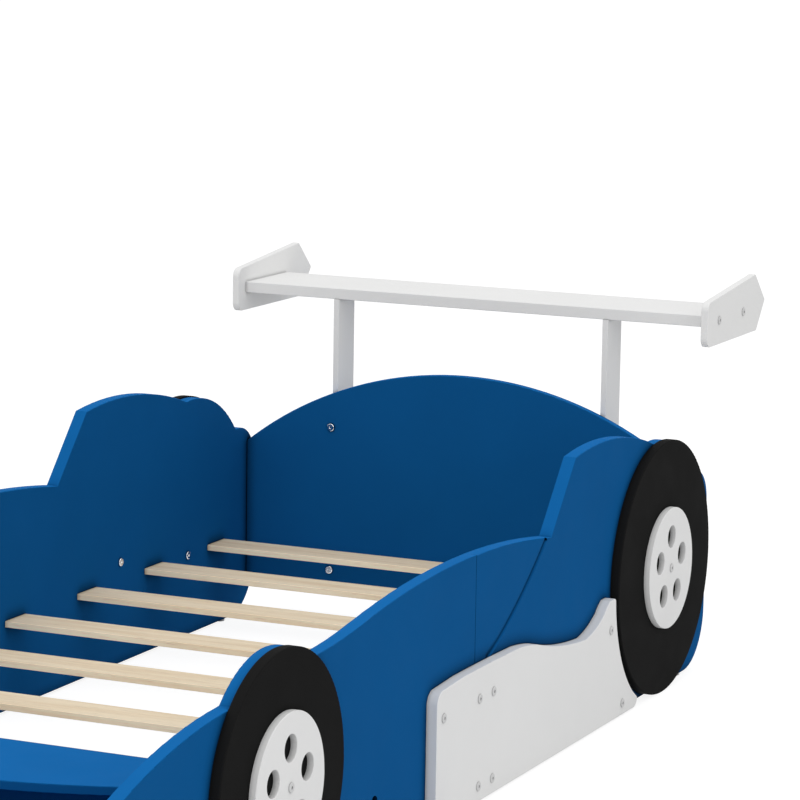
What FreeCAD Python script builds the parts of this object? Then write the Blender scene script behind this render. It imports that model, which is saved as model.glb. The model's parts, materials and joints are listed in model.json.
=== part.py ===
import FreeCAD, Part
import math
import os

# A child's bed shaped like a racing car, built from flat painted boards that bolt together.
# Millimetres. +Z is up, the nose points to -Y, and the car's left side is +X.
# The pieces are drawn with y measured from the headboard's face. The last step moves them
# all so that the origin is on the floor below the middle of the whole bed.

# Driving dimensions: the well for the mattress
inner_width = 1000.0
inner_length = 1920.0

# Driving dimensions: board thicknesses
panel_thickness = 25.0
headboard_thickness = 18.0
footboard_thickness = 18.0
shelf_thickness = 15.0
skirt_thickness = 20.0
tyre_thickness = 18.0
hub_thickness = 12.0
blade_thickness = 23.0
end_plate_thickness = 15.0
post_thickness = 12.0

# Driving dimensions: wheels and the fenders behind them
rear_tyre_radius = 250.0
front_tyre_radius = 216.0
rear_wheel_setback = 246.0
front_wheel_setback = 3.0
hub_radius = 119.0
hub_hole_radius = 22.0
hub_hole_circle = 62.0
hub_hole_count = 5
rear_fender_reveal = 3.0
rear_fender_shift = 3.0
front_fender_reveal = 4.0
front_fender_shift = 11.0

# Driving dimensions: the outline of the side panels
ground_gap = 5.0
tail_overhang = 35.0
tail_drop = 91.0
tail_radius = 70.0
tail_corner_radius = 110.0
roof_end_lead = 29.0
roof_bulge = 24.5
windscreen_top_setback = 688.0
windscreen_top_height = 535.0
windscreen_foot_setback = 800.0
windscreen_foot_height = 406.0
waist_bulge = 30.5
waist_front_height = 405.0
waist_front_gap = 299.0
front_fender_rear_drop = 38.0
front_fender_dip = 3.0
hood_back_drop = 59.0
hood_length = 347.5
hood_fall = 63.0
hood_bulge = 13.0
nose_length = 152.0
nose_height = 100.0
nose_bulge = 42.0
nose_corner_radius = 60.0
seam_setback = 1141.0
seam_gap = 0.6
door_groove_lead = 21.0
door_groove_run = 269.0
door_groove_drop = 168.0
door_groove_radius = 1061.0
door_groove_slope = 14.0
door_groove_wall = 3.0
door_groove_depth = 4.5
access_hole_radius = 13.0
access_hole_depth = 8.0
access_hole_setback = 1547.0
access_hole_height = 95.0

# Driving dimensions: skirts, boards that bridge the seam along each sill
skirt_front_lead = 202.0
skirt_front_height = 237.0
skirt_front_radius = 25.0
skirt_wheel_gap = 20.0
skirt_tail_height = 40.0
skirt_tail_radius = 18.0
skirt_tail_run = 26.0
skirt_horn_radius = 7.0
# The wavy top edge as (lead ahead of the rear wheel's centre, height, bulge)
skirt_wave = [
    (989.0, 242.0, 0.0),
    (739.0, 241.5, 1.0),
    (654.0, 230.0, 1.5),
    (418.0, 191.5, -7.0),
    (329.0, 220.0, -4.5),
    (299.0, 240.5, 1.5),
]

# Driving dimensions: headboard, hood shelf and the locker in the nose
headboard_height = 550.0
headboard_arch_radius = 799.0
headboard_bottom = 70.0
hood_shelf_height = 232.5
hood_shelf_depth = 235.0
hood_shelf_bow_radius = 938.0
footboard_bottom = 22.0
locker_floor_height = 55.0
nose_board_inset = 50.0
nose_board_bottom = 30.0
nose_board_height = 190.0
nose_board_rise = 35.0

# Driving dimensions: slats
slat_count = 7
slat_width = 75.0
slat_thickness = 12.0
slat_top_height = 179.0
first_slat_gap = 102.0
slat_tenon_length = 11.7
slat_tenon_shoulder = 2.0
slat_tenon_inset = 8.0
slat_end_gap = 0.3
slat_side_gap = 0.3

# Driving dimensions: rear spoiler
blade_bottom_height = 688.0
blade_depth = 192.0
blade_setback = 4.0
blade_half_length = 517.0
post_spacing = 604.0
post_depth = 78.0
post_bottom = 80.0
end_plate_lead = 32.0
end_plate_drop = 37.5
end_plate_front_height = 90.0
end_plate_bottom_length = 299.0
end_plate_top_length = 286.0
end_plate_rear_height = 118.5
end_plate_length = 349.0
end_plate_tip_height = 59.5
end_plate_corner_radius = 18.0
end_plate_rear_radius = 5.0

# Driving dimensions: corner blocks, cleats, dowels and glides
block_size = 30.0
headboard_block_bottom = 118.0
headboard_block_length = 200.0
headboard_block_depth = 15.0
footboard_block_length = 110.0
nose_block_length = 90.0
cleat_size = 18.0
hood_cleat_length = 60.0
floor_cleat_length = 360.0
dowel_radius = 4.0
blade_dowel_radius = 3.0
dowel_length = 30.0
dowel_depth = 12.0
dowel_end_gap = 0.5
dowel_inset = 40.0
glide_radius = 11.0
glide_edge_radius = 1.25
glide_end_inset = 22.0
glide_seam_inset = 33.0
glide_pin_radius = 1.5
glide_pin_length = 14.0

# Driving dimensions: fasteners
screw_head_radius = 8.2
screw_head_height = 2.4
screw_radius = 2.5
screw_bite = 15.0
small_head_radius = 4.0
small_head_height = 2.0
small_screw_radius = 2.0
small_screw_bite = 12.0
bolt_head_radius = 8.2
bolt_head_height = 3.4
bolt_radius = 3.0
bolt_reach = 14.0
head_rim_share = 0.45
key_radius = 2.8
key_depth = 1.6
barrel_nut_radius = 5.0
barrel_nut_inset = 30.0
barrel_nut_recess = 0.5
bolt_past_nut = 8.0
hole_gap = 0.15

# Driving dimensions: where the fasteners go
skirt_screw_low = 33.0
skirt_screw_high = 188.5
skirt_screw_front_inset = 27.0
seam_screw_lead = 22.0
seam_screw_lag = 39.0
horn_screw_lead = 293.0
horn_screw_height = 183.0
tail_screw_lead = 225.0
tail_screw_height = 28.0
skirt_bolt_lead = 306.0
skirt_bolt_height = 211.0
rear_wheel_bolt_lead = 20.0
front_wheel_bolt_lead = 67.0
wheel_bolt_drop = 77.0
post_bolt_low = 113.5
post_bolt_high = 419.0
blade_dowel_inset = 20.0
end_screw_front_inset = 35.0
end_screw_spacing = 146.0
block_screw_inset = 20.0
block_screw_step = 28.0
cleat_screw_share = 0.25

# Driving dimensions: softened edges
panel_edge_radius = 1.5
board_edge_radius = 1.5
tyre_edge_radius = 2.5
slat_edge_radius = 1.2

# Places that follow from the driving dimensions
inner_half = inner_width / 2
outer_half = inner_half + panel_thickness
tyre_face = outer_half + tyre_thickness
skirt_face = outer_half + skirt_thickness
hub_face = tyre_face + hub_thickness
foot_y = -inner_length
rear_wheel = (-rear_wheel_setback, rear_tyre_radius)
front_wheel = (foot_y + front_wheel_setback, front_tyre_radius)
rear_fender = (rear_wheel[0] + rear_fender_shift, rear_wheel[1])
front_fender = (front_wheel[0] + front_fender_shift, front_wheel[1])
rear_fender_radius = rear_tyre_radius - rear_fender_reveal
front_fender_radius = front_tyre_radius - front_fender_reveal
front_fender_top = front_fender[1] + front_fender_radius
hood_back_height = front_fender_top - hood_back_drop
hood_back_y = front_fender[0] - math.sqrt(front_fender_radius**2 - (hood_back_height - front_fender[1])**2)
hood_front_y = hood_back_y - hood_length
nose_y = hood_front_y - nose_length
seam_y = -seam_setback
slat_bottom = slat_top_height - slat_thickness
slat_pitch = (inner_length - 2 * first_slat_gap - slat_width) / (slat_count - 1)
hood_shelf_bottom = hood_shelf_height - shelf_thickness
footboard_front = foot_y - footboard_thickness
nose_board_front = nose_y + nose_board_inset
nose_board_back = nose_board_front + footboard_thickness
locker_floor_bottom = locker_floor_height - shelf_thickness
post_front = headboard_thickness
post_centre = post_spacing / 2
blade_front = post_front + blade_setback
blade_middle_height = blade_bottom_height + blade_thickness / 2
end_plate_front = blade_front - end_plate_lead
end_plate_bottom = blade_bottom_height - end_plate_drop

ACROSS = FreeCAD.Vector(1, 0, 0)
ALONG = FreeCAD.Vector(0, 1, 0)
UP = FreeCAD.Vector(0, 0, 1)
CENTRE = FreeCAD.Vector(0, 0, 0)

pieces = {}
fasteners = {}
holes = []


class Outline:
    """A closed outline in y and z, drawn anticlockwise as seen with y to the right and z up.

    A bulge is how far an arc stands out from its chord, and is negative where it dips in.
    """

    def __init__(self, y, z):
        self.here = (y, z)
        self.edges = []

    def line(self, y, z):
        start = FreeCAD.Vector(0, *self.here)
        self.edges.append(Part.LineSegment(start, FreeCAD.Vector(0, y, z)).toShape())
        self.here = (y, z)

    def through(self, middle, y, z):
        points = [FreeCAD.Vector(0, *place) for place in (self.here, middle, (y, z))]
        self.edges.append(Part.Arc(*points).toShape())
        self.here = (y, z)

    def arc(self, y, z, bulge):
        run = y - self.here[0]
        rise = z - self.here[1]
        chord = math.hypot(run, rise)
        if abs(bulge) < chord * 1e-4:
            self.line(y, z)
            return
        middle_y = self.here[0] + run / 2 + rise / chord * bulge
        middle_z = self.here[1] + rise / 2 - run / chord * bulge
        self.through((middle_y, middle_z), y, z)

    def corner(self, y, z):
        """A quarter circle between a level and an upright line."""
        chord = math.hypot(y - self.here[0], z - self.here[1])
        self.arc(y, z, chord / 2 * math.tan(math.pi / 8))

    def around(self, centre, y, z, turn):
        """An arc about a centre: turn is 1 for anticlockwise and -1 for clockwise."""
        radius = math.hypot(self.here[0] - centre[0], self.here[1] - centre[1])
        start = math.atan2(self.here[1] - centre[1], self.here[0] - centre[0])
        end = math.atan2(z - centre[1], y - centre[0])
        sweep = (turn * (end - start)) % (2 * math.pi)
        angle = start + turn * sweep / 2
        middle = (centre[0] + radius * math.cos(angle), centre[1] + radius * math.sin(angle))
        self.through(middle, y, z)

    def board(self, x_low, x_high):
        """Closes the outline and makes a board of it between two x values."""
        face = Part.Face(Part.Wire(self.edges))
        face.translate(FreeCAD.Vector(x_low, 0, 0))
        return face.extrude(FreeCAD.Vector(x_high - x_low, 0, 0))


def box(low, high):
    size = [far - near for near, far in zip(low, high)]
    return Part.makeBox(size[0], size[1], size[2], FreeCAD.Vector(*low))


def on_circle(centre, radius, height, side):
    """The y of a circle at a height, on its rear (+1) or front (-1) side."""
    return centre[0] + side * math.sqrt(radius**2 - (height - centre[1])**2)


def soften(shape, radius, axis, levels):
    """Rounds the edges that lie in the flat faces square to an axis, at the levels given."""
    chosen = []
    for edge in shape.Edges:
        bounds = edge.BoundBox
        low = (bounds.XMin, bounds.YMin, bounds.ZMin)[axis]
        high = (bounds.XMax, bounds.YMax, bounds.ZMax)[axis]
        if any(abs(low - level) < 0.01 and abs(high - level) < 0.01 for level in levels):
            chosen.append(edge)
    return shape.makeFillet(radius, chosen)


def round_corners(shape, radius, places):
    """Rounds the corners of a board in the y-z plane at the places given."""
    chosen = []
    for edge in shape.Edges:
        centre = edge.BoundBox.Center
        across = edge.BoundBox.YLength < 0.01 and edge.BoundBox.ZLength < 0.01
        if across and any(math.hypot(centre.y - y, centre.z - z) < 0.1 for y, z in places):
            chosen.append(edge)
    return shape.makeFillet(radius, chosen)


def mirrored(shape):
    return shape.mirror(CENTRE, ACROSS)


def both_sides(name, shape):
    """Keeps a piece of the left side, and its mirror image as the right one."""
    pieces[name + "_left"] = shape
    pieces[name + "_right"] = mirrored(shape)


def long_board(y_low, y_high, z_low, z_high, radius):
    """A plain board across the bed between the side panels, with its long edges rounded."""
    board = box((-inner_half, y_low, z_low), (inner_half, y_high, z_high))
    return board.makeFillet(radius, [edge for edge in board.Edges if edge.Length > inner_half])


def arched(board, radius, top, y_low, y_high):
    """Cuts the top of a board to an arch that is highest in the middle of the bed."""
    start = FreeCAD.Vector(0, y_low - 1, top - radius)
    return board.common(Part.makeCylinder(radius, y_high - y_low + 2, start, ALONG))


def add_fastener(node, solid, hole):
    """Puts a fastener in its group, notes its hole, and does the same on the other side."""
    fasteners.setdefault(node, []).extend([solid, mirrored(solid)])
    holes.extend([hole, mirrored(hole)])


def headed(start, direction, head, shank):
    """A screw or bolt and its hole: head and shank are (radius, length), start is the seat."""
    top = start - direction * head[1]
    solid = Part.makeCylinder(head[0], head[1], top, direction)
    rim = [e for e in solid.Edges if e.Closed and (e.BoundBox.Center - top).Length < 0.01]
    solid = solid.makeFillet(head[1] * head_rim_share, rim)
    solid = solid.fuse(Part.makeCylinder(shank[0], shank[1], start, direction)).removeSplitter()
    solid = solid.cut(Part.makeCylinder(key_radius, key_depth, top, direction))
    hole = Part.makeCylinder(shank[0] + hole_gap, shank[1] + hole_gap, start, direction)
    return solid, hole


def screw(node, x, y, z, direction, grip):
    head = (screw_head_radius, screw_head_height)
    shank = (screw_radius, grip + screw_bite)
    solid, hole = headed(FreeCAD.Vector(x, y, z), direction, head, shank)
    add_fastener(node, solid, hole)


def small_screw(node, x, y, z, direction, grip):
    head = (small_head_radius, small_head_height)
    shank = (small_screw_radius, grip + small_screw_bite)
    solid, hole = headed(FreeCAD.Vector(x, y, z), direction, head, shank)
    add_fastener(node, solid, hole)


def bolt(node, x, y, z, direction, length):
    head = (bolt_head_radius, bolt_head_height)
    solid, hole = headed(FreeCAD.Vector(x, y, z), direction, head, (bolt_radius, length))
    add_fastener(node, solid, hole)


def side_outline():
    """The outline of a whole side panel, from under the tail, over the car to the nose and back."""
    tail_top = rear_fender[1] + rear_fender_radius - tail_drop
    tail_notch = on_circle(rear_fender, rear_fender_radius, tail_top, 1)
    roof_end = rear_fender[0] - roof_end_lead
    roof_end_height = rear_fender[1] + math.sqrt(rear_fender_radius**2 - roof_end_lead**2)
    fender_rear_height = front_fender_top - front_fender_rear_drop
    fender_rear = on_circle(front_fender, front_fender_radius, fender_rear_height, 1)
    outline = Outline(tail_overhang - tail_corner_radius, ground_gap)
    outline.corner(tail_overhang, ground_gap + tail_corner_radius)
    outline.line(tail_overhang, tail_top - tail_radius)
    outline.corner(tail_overhang - tail_radius, tail_top)
    outline.line(tail_notch, tail_top)
    outline.around(rear_fender, roof_end, roof_end_height, 1)
    outline.arc(-windscreen_top_setback, windscreen_top_height, roof_bulge)
    outline.line(-windscreen_foot_setback, windscreen_foot_height)
    outline.arc(front_fender[0] + waist_front_gap, waist_front_height, waist_bulge)
    outline.arc(fender_rear, fender_rear_height, -front_fender_dip)
    outline.around(front_fender, hood_back_y, hood_back_height, 1)
    outline.arc(hood_front_y, hood_back_height - hood_fall, hood_bulge)
    outline.arc(nose_y, nose_height, nose_bulge)
    outline.line(nose_y, ground_gap + nose_corner_radius)
    outline.corner(nose_y + nose_corner_radius, ground_gap)
    outline.line(tail_overhang - tail_corner_radius, ground_gap)
    return outline


def door_groove():
    """A groove in the outer face that curves down and forward from the windscreen's foot.

    Its front side slopes in gently and its rear side is steep.
    """
    top = (-windscreen_foot_setback - door_groove_lead, windscreen_foot_height)
    half = math.hypot(door_groove_run, door_groove_drop) / 2
    rise = math.atan2(door_groove_drop, door_groove_run)
    reach = math.sqrt(door_groove_radius**2 - half**2)
    centre_y = top[0] - door_groove_run / 2 - reach * math.sin(rise)
    centre_z = top[1] - door_groove_drop / 2 + reach * math.cos(rise)
    over = (1 + door_groove_depth) / door_groove_depth
    section = Part.makePolygon([
        FreeCAD.Vector(outer_half + 1, 0, -door_groove_radius + over * door_groove_slope),
        FreeCAD.Vector(outer_half - door_groove_depth, 0, -door_groove_radius),
        FreeCAD.Vector(outer_half + 1, 0, -door_groove_radius - over * door_groove_wall),
        FreeCAD.Vector(outer_half + 1, 0, -door_groove_radius + over * door_groove_slope),
    ])
    sweep = 2 * math.degrees(math.asin(half / door_groove_radius))
    cutter = Part.Face(section).revolve(CENTRE, ACROSS, sweep)
    cutter.rotate(CENTRE, ACROSS, math.degrees(rise) - sweep / 2)
    cutter.translate(FreeCAD.Vector(0, centre_y, centre_z))
    return cutter


def slat_places():
    """The rear edge of each slat, from the headboard to the foot."""
    return [-first_slat_gap - k * slat_pitch for k in range(slat_count)]


def tenon_space(rear, side_gap, end_gap):
    """The stub tenons of one slat as a bar right across the bed, or the mortises that hold them."""
    reach = inner_half + slat_tenon_length + end_gap
    low_y = rear - slat_width + slat_tenon_inset - side_gap
    high_y = rear - slat_tenon_inset + side_gap
    low_z = slat_bottom + slat_tenon_shoulder - side_gap
    high_z = slat_top_height - slat_tenon_shoulder + side_gap
    return box((-reach, low_y, low_z), (reach, high_y, high_z))


def make_side_panels():
    whole = side_outline().board(inner_half, outer_half)
    bounds = whole.BoundBox
    cuts = [tenon_space(rear, slat_side_gap, slat_end_gap) for rear in slat_places()]
    cuts.append(door_groove())
    access_start = FreeCAD.Vector(outer_half + 1, -access_hole_setback, access_hole_height)
    cuts.append(Part.makeCylinder(access_hole_radius, access_hole_depth + 1, access_start, -ACROSS))
    ends = {
        "rear": (seam_y + seam_gap / 2, bounds.YMax + 1),
        "front": (bounds.YMin - 1, seam_y - seam_gap / 2),
    }
    for end, (low_y, high_y) in ends.items():
        low = (inner_half - 1, low_y, bounds.ZMin - 1)
        high = (outer_half + 1, high_y, bounds.ZMax + 1)
        half = whole.common(box(low, high))
        half = soften(half, panel_edge_radius, 0, (inner_half, outer_half))
        both_sides("side_panel_" + end, half.cut(Part.makeCompound(cuts)))


def make_skirts():
    tail_y = on_circle(rear_wheel, rear_tyre_radius + skirt_wheel_gap, skirt_tail_height, -1)
    front_y = seam_y - skirt_front_lead
    horn_height = skirt_wave[-1][1]
    horn_y = on_circle(rear_wheel, rear_tyre_radius + skirt_wheel_gap, horn_height, -1)
    wave = [(rear_wheel[0] - lead, height, bulge) for lead, height, bulge in skirt_wave]
    outline = Outline(horn_y, horn_height)
    outline.line(*wave[-1][:2])
    for (y, z, _), (_, _, bulge) in zip(wave[-2::-1], wave[:0:-1]):
        outline.arc(y, z, bulge)
    outline.line(front_y + skirt_front_radius, skirt_front_height)
    outline.corner(front_y, skirt_front_height - skirt_front_radius)
    outline.line(front_y, ground_gap + skirt_front_radius)
    outline.corner(front_y + skirt_front_radius, ground_gap)
    outline.line(tail_y + skirt_tail_run - skirt_tail_radius, ground_gap)
    outline.corner(tail_y + skirt_tail_run, ground_gap + skirt_tail_radius)
    outline.line(tail_y, skirt_tail_height)
    outline.around(rear_wheel, horn_y, horn_height, -1)
    skirt = outline.board(outer_half, skirt_face)
    skirt = round_corners(skirt, skirt_horn_radius, (wave[-1][:2], (horn_y, horn_height)))
    both_sides("skirt", soften(skirt, board_edge_radius, 0, (skirt_face,)))
    heights = (skirt_screw_low, skirt_screw_high)
    ways = (front_y + skirt_screw_front_inset, seam_y - seam_screw_lead, seam_y + seam_screw_lag)
    spots = [(y, z) for y in ways for z in heights]
    spots.append((rear_wheel[0] - horn_screw_lead, horn_screw_height))
    spots.append((rear_wheel[0] - tail_screw_lead, tail_screw_height))
    for y, z in spots:
        screw("skirt_screws", skirt_face, y, z, -ACROSS, skirt_thickness)
    bolt("skirt_bolts", inner_half, rear_wheel[0] - skirt_bolt_lead, skirt_bolt_height,
         ACROSS, panel_thickness + bolt_reach)


def make_wheels():
    wheels = {
        "rear": (rear_wheel, rear_tyre_radius, rear_wheel_bolt_lead),
        "front": (front_wheel, front_tyre_radius, front_wheel_bolt_lead),
    }
    for end, ((y, z), radius, bolt_lead) in wheels.items():
        centre = FreeCAD.Vector(outer_half, y, z)
        tyre = Part.makeCylinder(radius, tyre_thickness, centre, ACROSS)
        tyre = soften(tyre, tyre_edge_radius, 0, (tyre_face,))
        both_sides(end + "_tyre", tyre)
        hub_centre = FreeCAD.Vector(tyre_face, y, z)
        hub = Part.makeCylinder(hub_radius, hub_thickness, hub_centre, ACROSS)
        for k in range(hub_hole_count):
            angle = 2 * math.pi * k / hub_hole_count
            offset = FreeCAD.Vector(0, math.sin(angle), math.cos(angle)) * hub_hole_circle
            start = hub_centre + offset - ACROSS
            hub = hub.cut(Part.makeCylinder(hub_hole_radius, hub_thickness + 2, start, ACROSS))
        both_sides(end + "_hub", soften(hub, board_edge_radius, 0, (hub_face,)))
        screw("hub_screws", hub_face, y, z, -ACROSS, hub_thickness + tyre_thickness)
        bolt("wheel_bolts", inner_half, y - bolt_lead, z - wheel_bolt_drop,
             ACROSS, panel_thickness + bolt_reach)


def make_slats():
    for number, rear in enumerate(slat_places(), start=1):
        slat = long_board(rear - slat_width, rear, slat_bottom, slat_top_height, slat_edge_radius)
        pieces["slat_%d" % number] = slat.fuse(tenon_space(rear, 0, 0))


def make_headboard():
    blank = box((-inner_half, 0, headboard_bottom), (inner_half, headboard_thickness, headboard_height))
    board = arched(blank, headboard_arch_radius, headboard_height, 0, headboard_thickness)
    pieces["headboard"] = soften(board, board_edge_radius, 1, (0, headboard_thickness))


def make_hood_and_locker():
    shelf = box((-inner_half, foot_y - hood_shelf_depth, hood_shelf_bottom),
                (inner_half, foot_y, hood_shelf_height))
    bow_centre = FreeCAD.Vector(0, foot_y - hood_shelf_depth + hood_shelf_bow_radius, hood_shelf_bottom - 1)
    shelf = shelf.common(Part.makeCylinder(hood_shelf_bow_radius, shelf_thickness + 2, bow_centre, UP))
    pieces["hood_shelf"] = soften(shelf, board_edge_radius, 2, (hood_shelf_bottom, hood_shelf_height))
    pieces["footboard"] = long_board(
        footboard_front, foot_y, footboard_bottom, hood_shelf_bottom, board_edge_radius)
    pieces["locker_floor"] = long_board(
        nose_board_back, footboard_front, locker_floor_bottom, locker_floor_height, board_edge_radius)
    top = nose_board_height + nose_board_rise
    radius = (inner_half**2 + nose_board_rise**2) / (2 * nose_board_rise)
    board = box((-inner_half, nose_board_front, nose_board_bottom), (inner_half, nose_board_back, top))
    board = arched(board, radius, top, nose_board_front, nose_board_back)
    pieces["nose_board"] = soften(board, board_edge_radius, 1, (nose_board_front, nose_board_back))


def make_spoiler():
    y_back = blade_front + blade_depth
    blade_top = blade_bottom_height + blade_thickness
    blade = box((-blade_half_length, blade_front, blade_bottom_height),
                (blade_half_length, y_back, blade_top))
    long_edges = [edge for edge in blade.Edges if edge.Length > blade_half_length]
    pieces["spoiler_blade"] = blade.makeFillet(board_edge_radius, long_edges)

    post = box((post_centre - post_thickness / 2, post_front, post_bottom),
               (post_centre + post_thickness / 2, post_front + post_depth, blade_bottom_height))
    both_sides("spoiler_post", post.makeFillet(
        board_edge_radius, [edge for edge in post.Edges if edge.Length > post_depth + 1]))

    outer = blade_half_length + end_plate_thickness
    front_corners = [
        (end_plate_front, end_plate_bottom),
        (end_plate_front, end_plate_bottom + end_plate_front_height),
    ]
    rear_corners = [
        (end_plate_front + end_plate_bottom_length, end_plate_bottom),
        (end_plate_front + end_plate_length, end_plate_bottom + end_plate_tip_height),
        (end_plate_front + end_plate_top_length, end_plate_bottom + end_plate_rear_height),
    ]
    outline = Outline(*front_corners[0])
    for corner in rear_corners + front_corners[::-1]:
        outline.line(*corner)
    plate = outline.board(blade_half_length, outer)
    plate = round_corners(plate, end_plate_corner_radius, front_corners)
    plate = round_corners(plate, end_plate_rear_radius, rear_corners)
    both_sides("spoiler_end_plate", soften(plate, board_edge_radius, 0, (blade_half_length, outer)))

    for k in (0, 1):
        y = blade_front + end_screw_front_inset + k * end_screw_spacing
        screw("end_plate_screws", outer, y, blade_middle_height, -ACROSS, end_plate_thickness)
        y = post_front + blade_dowel_inset + k * (post_depth - 2 * blade_dowel_inset)
        start = FreeCAD.Vector(post_centre, y, blade_bottom_height - dowel_length / 2)
        pin = Part.makeCylinder(blade_dowel_radius, dowel_length, start, UP)
        hole = Part.makeCylinder(blade_dowel_radius + hole_gap, dowel_length + 2 * dowel_end_gap,
                                 start - UP * dowel_end_gap, UP)
        add_fastener("dowels", pin, hole)

    nut_y = post_front + barrel_nut_inset
    nut_start = post_centre - post_thickness / 2
    for z in (post_bolt_low, post_bolt_high):
        bolt("post_bolts", post_centre, 0, z, ALONG, nut_y + bolt_past_nut)
        seat = FreeCAD.Vector(nut_start, nut_y, z)
        nut = Part.makeCylinder(barrel_nut_radius, post_thickness - 2 * barrel_nut_recess,
                                seat + ACROSS * barrel_nut_recess, ACROSS)
        thread = FreeCAD.Vector(post_centre, nut_y - 2 * barrel_nut_radius, z)
        nut = nut.cut(Part.makeCylinder(bolt_radius + hole_gap, 4 * barrel_nut_radius, thread, ALONG))
        bore = Part.makeCylinder(barrel_nut_radius + hole_gap, post_thickness, seat, ACROSS)
        add_fastener("post_nuts", nut, bore)


def make_block(name, y_board, way, z_low, length, depth):
    """A pair of corner blocks that tie a cross board to the side panels.

    y_board is the board's face, and way is 1 for a block behind it or -1 for one in front.
    """
    y_far = y_board + way * depth
    low = (inner_half - block_size, min(y_board, y_far), z_low)
    high = (inner_half, max(y_board, y_far), z_low + length)
    both_sides(name, box(low, high))
    x_face = inner_half - block_size
    for end in (0, 1):
        inward = 1 - 2 * end
        z = z_low + end * length + inward * block_screw_inset
        small_screw("block_screws", x_face, (y_board + y_far) / 2, z, ACROSS, block_size)
        z = z_low + end * length + inward * (block_screw_inset + block_screw_step / 2)
        small_screw("block_screws", inner_half - block_size / 2, y_far, z, ALONG * -way, depth)


def make_blocks_and_cleats():
    make_block("headboard_block", headboard_thickness, 1, headboard_block_bottom,
               headboard_block_length, headboard_block_depth)
    make_block("footboard_block", footboard_front, -1, locker_floor_height,
               footboard_block_length, block_size)
    make_block("nose_block", nose_board_back, 1, locker_floor_height,
               nose_block_length, block_size)
    x_face = inner_half - cleat_size
    cleats = {
        "hood_cleat": (footboard_front - hood_cleat_length, hood_cleat_length, hood_shelf_bottom),
        "floor_cleat": ((footboard_front + nose_board_back - floor_cleat_length) / 2,
                        floor_cleat_length, locker_floor_bottom),
    }
    for name, (y_low, length, z_top) in cleats.items():
        both_sides(name, box((x_face, y_low, z_top - cleat_size), (inner_half, y_low + length, z_top)))
        for share in (cleat_screw_share, 1 - cleat_screw_share):
            small_screw("cleat_screws", x_face, y_low + share * length, z_top - cleat_size / 2,
                        ACROSS, cleat_size)


def make_dowels():
    boards = [
        (headboard_thickness / 2, headboard_block_bottom, headboard_block_bottom + headboard_block_length),
        (foot_y - footboard_thickness / 2, locker_floor_height, hood_shelf_bottom),
        (nose_board_front + footboard_thickness / 2, nose_board_bottom, nose_board_height),
    ]
    start_x = inner_half + dowel_depth - dowel_length
    for y, z_low, z_high in boards:
        for z in (z_low + dowel_inset, z_high - dowel_inset):
            start = FreeCAD.Vector(start_x, y, z)
            pin = Part.makeCylinder(dowel_radius, dowel_length, start, ACROSS)
            hole = Part.makeCylinder(dowel_radius + hole_gap, dowel_length + 2 * dowel_end_gap,
                                     start - ACROSS * dowel_end_gap, ACROSS)
            add_fastener("dowels", pin, hole)


def make_glides():
    """Plastic buttons nailed under the side panels."""
    x = (inner_half + outer_half) / 2
    places = [
        tail_overhang - tail_corner_radius - glide_end_inset,
        seam_y + glide_seam_inset,
        seam_y - glide_seam_inset,
        nose_y + nose_corner_radius + glide_end_inset,
    ]
    for y in places:
        button = Part.makeCylinder(glide_radius, ground_gap, FreeCAD.Vector(x, y, 0), UP)
        button = soften(button, glide_edge_radius, 2, (0,))
        seat = FreeCAD.Vector(x, y, ground_gap)
        pin = Part.makeCylinder(glide_pin_radius, glide_pin_length, seat, UP)
        hole = Part.makeCylinder(glide_pin_radius + hole_gap, glide_pin_length + hole_gap, seat, UP)
        add_fastener("glides", button.fuse(pin).removeSplitter(), hole)


def drill(shape):
    """Cuts every hole that passes through a piece."""
    through = [hole for hole in holes if hole.BoundBox.intersect(shape.BoundBox)]
    return shape.cut(Part.makeCompound(through)) if through else shape


make_side_panels()
make_skirts()
make_wheels()
make_slats()
make_headboard()
make_hood_and_locker()
make_spoiler()
make_blocks_and_cleats()
make_dowels()
make_glides()

finished = {name: drill(shape) for name, shape in pieces.items()}
for name, group in fasteners.items():
    finished[name] = Part.makeCompound(group)

# The whole bed runs from the nose to the tips of the spoiler's end plates
whole_bounds = Part.makeCompound(list(finished.values())).optimalBoundingBox(False, False)
to_origin = FreeCAD.Vector(0, -(whole_bounds.YMin + whole_bounds.YMax) / 2, 0)

os.makedirs("parts", exist_ok=True)
for name, shape in finished.items():
    shape.translate(to_origin)
    shape.exportStep("parts/%s.step" % name)
print("nodes %d, origin %.2f mm from the headboard's face" % (len(finished), to_origin.y))
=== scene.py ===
import json
import math

import bpy
from mathutils import Matrix, Vector

# A child's bed shaped like a racing car: the finish of its boards, screws and slats,
# with a pale floor, soft studio light and the camera. Metres, in the frame of the model.

# Camera: where it stands, the way it looks, and its lens in millimetres
CAMERA_PLACE = (2.884, -5.551, 1.6735)
CAMERA_AZIMUTH = 24.451
CAMERA_DOWN = 9.190
CAMERA_ROLL = 0.9035
CAMERA_LENS = 160.2
CAMERA_SENSOR = 36.0
CAMERA_REACH = 100.0

# Light: the sky's strength for diffuse light, and lamps as (name, place, aim, diameter, watts)
SKY_STRENGTH = 0.78
BACKDROP_STRENGTH = 1.0
LAMPS = [
    ("top", (0.3, 0.2, 4.6), (0, 0, 0.2), 3.4, 40.0),
    ("side", (4.6, -1.2, 2.0), (0.3, 0, 0.3), 2.8, 15.0),
    ("front", (1.0, -5.6, 2.2), (0.2, 0, 0.4), 2.8, 36.0),
]

# Floor: how far it runs, its gap below the bed, what it throws back at the bed, and how it looks
FLOOR_HALF = 30.0
FLOOR_GAP = 0.0005
FLOOR_BOUNCE = (0.80, 0.80, 0.80, 1)
FLOOR_SHADE = (0.28, 0.28, 0.28, 1)
FLOOR_GLOW = 0.86

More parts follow.
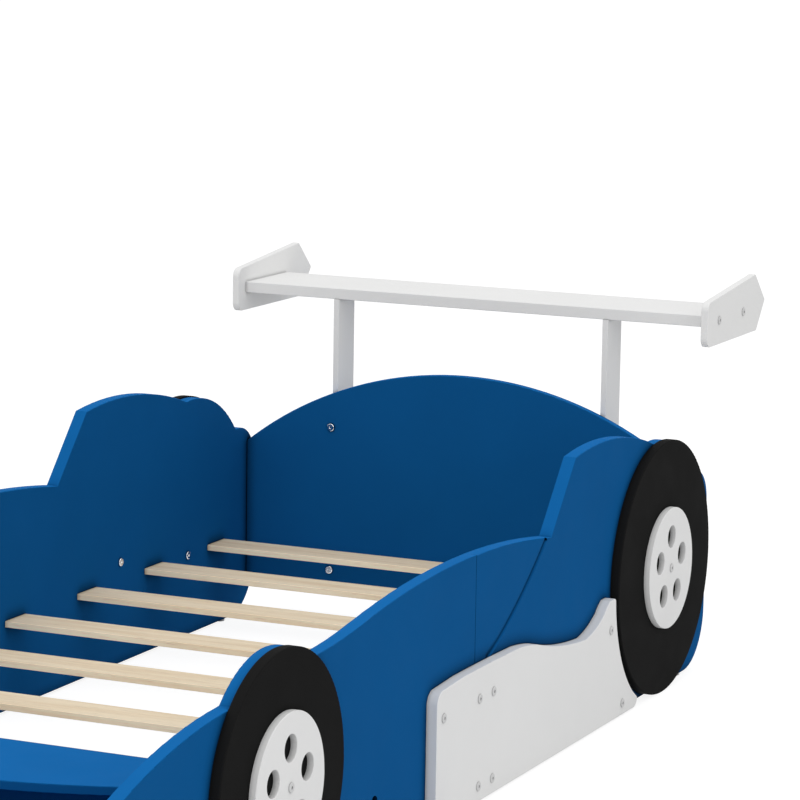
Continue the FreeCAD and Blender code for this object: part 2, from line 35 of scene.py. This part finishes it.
# Paint, wood and metal as linear colours
BLUE = (0.0050, 0.0930, 0.2800)
WHITE = (0.822, 0.822, 0.818)
SCREW_WHITE = (0.66, 0.66, 0.66)
BLACK = (0.0125, 0.0125, 0.0125)
PINE_LIGHT = (0.86, 0.725, 0.53)
PINE_DARK = (0.72, 0.545, 0.345)
STEEL = (0.62, 0.62, 0.63)
CHROME = (0.86, 0.86, 0.87)

# Finish
PAINT_SPECULAR = 0.006
PAINT_EDGE_RADIUS = 0.0035
PINE_SPECULAR = 0.2
# Painted light: how much lighter the pine's faces turned to -Y are made
PINE_FRONT_LIGHT_GAIN = 1.38
# Painted shade in the pine's crevices, as (reach, darkest value)
PINE_CREVICE_SHADE = (0.012, 0.45)

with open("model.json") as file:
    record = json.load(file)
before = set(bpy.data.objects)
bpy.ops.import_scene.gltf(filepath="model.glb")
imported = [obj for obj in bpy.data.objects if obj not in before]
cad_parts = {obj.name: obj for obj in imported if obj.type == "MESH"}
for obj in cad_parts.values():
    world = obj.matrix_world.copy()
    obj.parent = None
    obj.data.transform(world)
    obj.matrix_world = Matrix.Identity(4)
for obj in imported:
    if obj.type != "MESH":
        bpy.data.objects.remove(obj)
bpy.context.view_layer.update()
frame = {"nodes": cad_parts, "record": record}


def emptied(holder):
    """Clears the nodes of a material or world, and gives functions that add and join nodes.

    A value given to add is a property of the node, or else the value of its input socket.
    """
    holder.use_nodes = True
    tree = holder.node_tree
    tree.nodes.clear()

    def add(kind, **values):
        node = tree.nodes.new(kind)
        for key, value in values.items():
            if hasattr(node, key):
                setattr(node, key, value)
            else:
                node.inputs[key].default_value = value
        return node

    def join(source, target):
        tree.links.new(source, target)

    return add, join


def new_material(name):
    material = bpy.data.materials.new(name)
    return material, *emptied(material)


def grain_noise(add, join, stretch, scale, detail=4.0, roughness=0.55):
    """Noise on object coordinates, stretched by a factor along each axis."""
    place = add("ShaderNodeTexCoord")
    mapping = add("ShaderNodeMapping")
    mapping.inputs["Scale"].default_value = stretch
    noise = add("ShaderNodeTexNoise", Scale=scale, Detail=detail, Roughness=roughness)
    join(place.outputs["Object"], mapping.inputs["Vector"])
    join(mapping.outputs["Vector"], noise.inputs["Vector"])
    return noise


def remap(add, join, source, low, high, from_low=0.3, from_high=0.7):
    """Stretches a value from one range to another and holds it at the ends."""
    ranges = {"From Min": from_low, "From Max": from_high, "To Min": low, "To Max": high}
    node = add("ShaderNodeMapRange", **ranges)
    join(source, node.inputs["Value"])
    return node.outputs["Result"]


def times(add, join, first, second):
    product = add("ShaderNodeMath", operation="MULTIPLY")
    join(first, product.inputs[0])
    join(second, product.inputs[1])
    return product.outputs["Value"]


def scaled_colour(add, join, colour, factor):
    """A colour times a factor that varies over the surface."""
    node = add("ShaderNodeVectorMath", operation="SCALE")
    node.inputs[0].default_value = colour
    join(factor, node.inputs["Scale"])
    return node.outputs["Vector"]


def facing(add, join, axis):
    """How much a surface faces along one of the bed's axes, from -1 to 1."""
    place = add("ShaderNodeTexCoord")
    parts = add("ShaderNodeSeparateXYZ")
    join(place.outputs["Normal"], parts.inputs["Vector"])
    return parts.outputs[axis]


def edge_mask(add, join, radius):
    """1 on the rounded edges of a board and 0 on its flat faces."""
    bevel = add("ShaderNodeBevel", samples=6, Radius=radius)
    geometry = add("ShaderNodeNewGeometry")
    dot = add("ShaderNodeVectorMath", operation="DOT_PRODUCT")
    join(bevel.outputs["Normal"], dot.inputs[0])
    join(geometry.outputs["Normal"], dot.inputs[1])
    return remap(add, join, dot.outputs["Value"], 1.0, 0.0, 0.86, 0.995)


def painted_crevice_shade(add, join, reach, darkest):
    """Painted shade: 1 on open surfaces, falling to the darkest value in grooves, seams, corners and next
    to other parts.
    """
    cover = add("ShaderNodeAmbientOcclusion", samples=8, Distance=reach)
    return remap(add, join, cover.outputs["AO"], darkest, 1.0, 0.35, 0.95)


def close_surface(add, join, shader, height, strength, distance):
    """Gives the shader a fine relief and joins it to the material's output."""
    bump = add("ShaderNodeBump", Strength=strength, Distance=distance)
    join(height, bump.inputs["Height"])
    join(bump.outputs["Normal"], shader.inputs["Normal"])
    output = add("ShaderNodeOutputMaterial")
    join(shader.outputs["BSDF"], output.inputs["Surface"])


def paint(name, colour, roughness, edge_highlight_and_wear_gain, top_light_gain=0.0, mottling=0.035, painted_shade=((0.012, 0.6),)):
    """Sprayed paint on board: a faint mottle, orange peel, a painted highlight on the edges, painted
    light on upward faces and painted shade in crevices.

    Edge and top gain are how much lighter the edges and upward faces are painted; the edge highlight is
    broken up by a speckle like wear. The crevice list gives the painted shade as (reach, darkest value).
    """
    material, add, join = new_material(name)
    shader = add("ShaderNodeBsdfPrincipled")
    shader.inputs["Specular IOR Level"].default_value = PAINT_SPECULAR
    clouds = grain_noise(add, join, (1, 1, 1), 5.0, 3.0)
    tone = remap(add, join, clouds.outputs["Fac"], 1.0 - mottling, 1.0 + mottling)
    speckle = grain_noise(add, join, (1, 1, 1), 160.0, 2.0)
    # Painted highlight on the edges, broken up by a speckle like wear
    edge_highlight_and_wear = remap(add, join, speckle.outputs["Fac"], 0.4 * edge_highlight_and_wear_gain, edge_highlight_and_wear_gain)
    # Painted light: upward faces are made lighter
    painted_top_light = remap(add, join, facing(add, join, "Z"), 1.0, 1.0 + top_light_gain, 0.25, 0.85)
    gain = add("ShaderNodeMath", operation="ADD")
    join(times(add, join, tone, painted_top_light), gain.inputs[0])
    join(times(add, join, edge_mask(add, join, PAINT_EDGE_RADIUS), edge_highlight_and_wear), gain.inputs[1])
    shade = gain.outputs["Value"]
    # Painted shade in grooves, seams, corners and next to other parts
    for reach, darkest in painted_shade:
        shade = times(add, join, shade, painted_crevice_shade(add, join, reach, darkest))
    join(scaled_colour(add, join, colour, shade), shader.inputs["Base Color"])
    rub = grain_noise(add, join, (1, 1, 1), 14.0, 5.0).outputs["Fac"]
    join(remap(add, join, rub, roughness - 0.05, roughness + 0.06), shader.inputs["Roughness"])
    peel = grain_noise(add, join, (1, 1, 1), 420.0, 2.0)
    close_surface(add, join, shader, peel.outputs["Fac"], 0.06, 0.0006)
    return material


def pine():
    """Bare planed softwood with its grain along X: bands, fine fibres and short dark pores, with painted
    light on faces turned to -Y and painted shade in crevices.
    """
    material, add, join = new_material("pine")
    shader = add("ShaderNodeBsdfPrincipled")
    shader.inputs["Specular IOR Level"].default_value = PINE_SPECULAR
    bands = grain_noise(add, join, (0.9, 16.0, 16.0), 3.2, 5.0)
    fibres = grain_noise(add, join, (3.0, 240.0, 240.0), 3.0, 3.0, 0.7)
    pores = grain_noise(add, join, (14.0, 320.0, 320.0), 2.0, 2.0)
    # Inputs 6 and 7 and output 2 are the mix node's colour sockets
    mixed = add("ShaderNodeMix", data_type="RGBA")
    join(remap(add, join, bands.outputs["Fac"], 0.0, 0.75, 0.42, 0.72), mixed.inputs["Factor"])
    mixed.inputs[6].default_value = (*PINE_LIGHT, 1)
    mixed.inputs[7].default_value = (*PINE_DARK, 1)
    fine = remap(add, join, fibres.outputs["Fac"], 0.93, 1.04)
    dark = remap(add, join, pores.outputs["Fac"], 1.0, 0.80, 0.58, 0.70)
    # Painted light: faces turned towards -Y are made lighter
    front = remap(add, join, facing(add, join, "Y"), PINE_FRONT_LIGHT_GAIN, 1.0, -0.8, -0.3)
    # Painted shade in grooves, seams and corners
    shaded = times(add, join, front, painted_crevice_shade(add, join, *PINE_CREVICE_SHADE))
    tinted = add("ShaderNodeVectorMath", operation="SCALE")
    join(mixed.outputs[2], tinted.inputs[0])
    join(times(add, join, times(add, join, fine, dark), shaded), tinted.inputs["Scale"])
    join(tinted.outputs["Vector"], shader.inputs["Base Color"])
    join(remap(add, join, fibres.outputs["Fac"], 0.55, 0.72), shader.inputs["Roughness"])
    close_surface(add, join, shader, fibres.outputs["Fac"], 0.25, 0.0004)
    return material


def metal(name, colour, roughness):
    """Plated steel with faint turning marks and uneven polish."""
    material, add, join = new_material(name)
    shader = add("ShaderNodeBsdfPrincipled", Metallic=1.0)
    stain = grain_noise(add, join, (1, 1, 1), 260.0, 3.0).outputs["Fac"]
    tone = remap(add, join, stain, 0.86, 1.05)
    join(scaled_colour(add, join, colour, tone), shader.inputs["Base Color"])
    join(remap(add, join, stain, roughness - 0.06, roughness + 0.08), shader.inputs["Roughness"])
    marks = grain_noise(add, join, (1, 1, 1), 1500.0, 2.0)
    close_surface(add, join, shader, marks.outputs["Fac"], 0.15, 0.0002)
    return material


def seen_rays(add, join):
    """1 for the camera's rays and for reflected and refracted ones, 0 for diffuse light."""
    path = add("ShaderNodeLightPath")
    first = add("ShaderNodeMath", operation="ADD")
    join(path.outputs["Is Camera Ray"], first.inputs[0])
    join(path.outputs["Is Glossy Ray"], first.inputs[1])
    total = add("ShaderNodeMath", operation="ADD", use_clamp=True)
    join(first.outputs["Value"], total.inputs[0])
    join(path.outputs["Is Transmission Ray"], total.inputs[1])
    return total.outputs["Value"]


def seen_or_lit(add, join, seen, lit):
    """One shader for rays that are seen, and another for the light that reaches the bed."""
    mix = add("ShaderNodeMixShader")
    join(seen_rays(add, join), mix.inputs["Fac"])
    join(lit, mix.inputs[1])
    join(seen, mix.inputs[2])
    return mix.outputs["Shader"]


def make_world():
    """Even light from all sides of the sky, which is seen as plain white."""
    world = bpy.data.worlds.new("studio")
    bpy.context.scene.world = world
    add, join = emptied(world)
    lighting = add("ShaderNodeBackground", Color=(1, 1, 1, 1), Strength=SKY_STRENGTH)
    backdrop = add("ShaderNodeBackground", Color=(1, 1, 1, 1), Strength=BACKDROP_STRENGTH)
    output = add("ShaderNodeOutputWorld")
    join(seen_or_lit(add, join, backdrop.outputs["Background"], lighting.outputs["Background"]),
         output.inputs["Surface"])


def make_floor():
    """A pale floor that keeps the soft shadow of the bed and runs out into white."""
    mesh = bpy.data.meshes.new("floor")
    corners = [(x * FLOOR_HALF, y * FLOOR_HALF, 0) for x, y in ((-1, -1), (1, -1), (1, 1), (-1, 1))]
    mesh.from_pydata(corners, [], [(0, 1, 2, 3)])
    floor = bpy.data.objects.new("floor", mesh)
    bpy.context.scene.collection.objects.link(floor)
    floor.location.z = -FLOOR_GAP

    material, add, join = new_material("floor")
    bounce = add("ShaderNodeBsdfDiffuse")
    bounce.inputs["Color"].default_value = FLOOR_BOUNCE
    glow = add("ShaderNodeEmission", Strength=FLOOR_GLOW)
    shade = add("ShaderNodeBsdfDiffuse")
    shade.inputs["Color"].default_value = FLOOR_SHADE
    pale = add("ShaderNodeAddShader")
    join(glow.outputs["Emission"], pale.inputs[0])
    join(shade.outputs["BSDF"], pale.inputs[1])
    output = add("ShaderNodeOutputMaterial")
    join(seen_or_lit(add, join, pale.outputs["Shader"], bounce.outputs["BSDF"]), output.inputs["Surface"])
    mesh.materials.append(material)


def add_lamp(name, place, aim, diameter, watts):
    """A round soft lamp that faces the point aimed at."""
    data = bpy.data.lights.new(name, "AREA")
    data.shape = "DISK"
    data.size = diameter
    data.energy = watts
    lamp = bpy.data.objects.new(name, data)
    lamp.location = place
    lamp.rotation_euler = (Vector(aim) - Vector(place)).to_track_quat("-Z", "Y").to_euler()
    bpy.context.scene.collection.objects.link(lamp)


def make_camera():
    """Looks down and to the left along the bed, turned a little about its own axis."""
    azimuth = math.radians(CAMERA_AZIMUTH)
    down = math.radians(CAMERA_DOWN)
    roll = math.radians(CAMERA_ROLL)
    run = math.cos(down)
    ahead = Vector((-math.sin(azimuth) * run, math.cos(azimuth) * run, -math.sin(down)))
    level = Vector((math.cos(azimuth), math.sin(azimuth), 0))
    above = level.cross(ahead)
    right = level * math.cos(roll) + above * math.sin(roll)
    up = above * math.cos(roll) - level * math.sin(roll)
    data = bpy.data.cameras.new("camera")
    data.lens = CAMERA_LENS
    data.sensor_width = CAMERA_SENSOR
    data.clip_end = CAMERA_REACH
    camera = bpy.data.objects.new("camera", data)
    turned = Matrix((right, up, -ahead)).transposed().to_4x4()
    camera.matrix_world = Matrix.Translation(CAMERA_PLACE) @ turned
    bpy.context.scene.collection.objects.link(camera)
    bpy.context.scene.camera = camera


def dress(materials):
    """Gives each carried-over piece the material of its slot in the record."""
    slots = {part["node"]: part["material_slot"] for part in frame["record"]["subparts"]}
    for name, piece in frame["nodes"].items():
        for slot in piece.material_slots:
            slot.material = materials[slots[name]]


# Each paint's edge gain is a painted highlight on its edges and its crevice list is painted shade; the
# blue also has painted light on its upward faces
dress({
    "blue_paint": paint("blue_paint", BLUE, 0.62, 0.06, top_light_gain=0.50,
                        painted_shade=((0.030, 0.15), (0.004, 0.02))),
    "white_paint": paint("white_paint", WHITE, 0.50, 0.03, mottling=0.012, painted_shade=((0.008, 0.55),)),
    "black_paint": paint("black_paint", BLACK, 0.60, 0.30, painted_shade=((0.012, 0.5),)),
    "white_screw_paint": paint("white_screw_paint", SCREW_WHITE, 0.40, 0.03, mottling=0.012,
                               painted_shade=((0.004, 0.55),)),
    "glide_plastic": paint("glide_plastic", WHITE, 0.50, 0.03, mottling=0.012),
    "pine": pine(),
    "bright_chrome": metal("bright_chrome", CHROME, 0.16),
    "zinc_steel": metal("zinc_steel", STEEL, 0.38),
})

make_world()
make_floor()
for lamp_facts in LAMPS:
    add_lamp(*lamp_facts)
make_camera()
bpy.context.scene.view_settings.view_transform = "Standard"
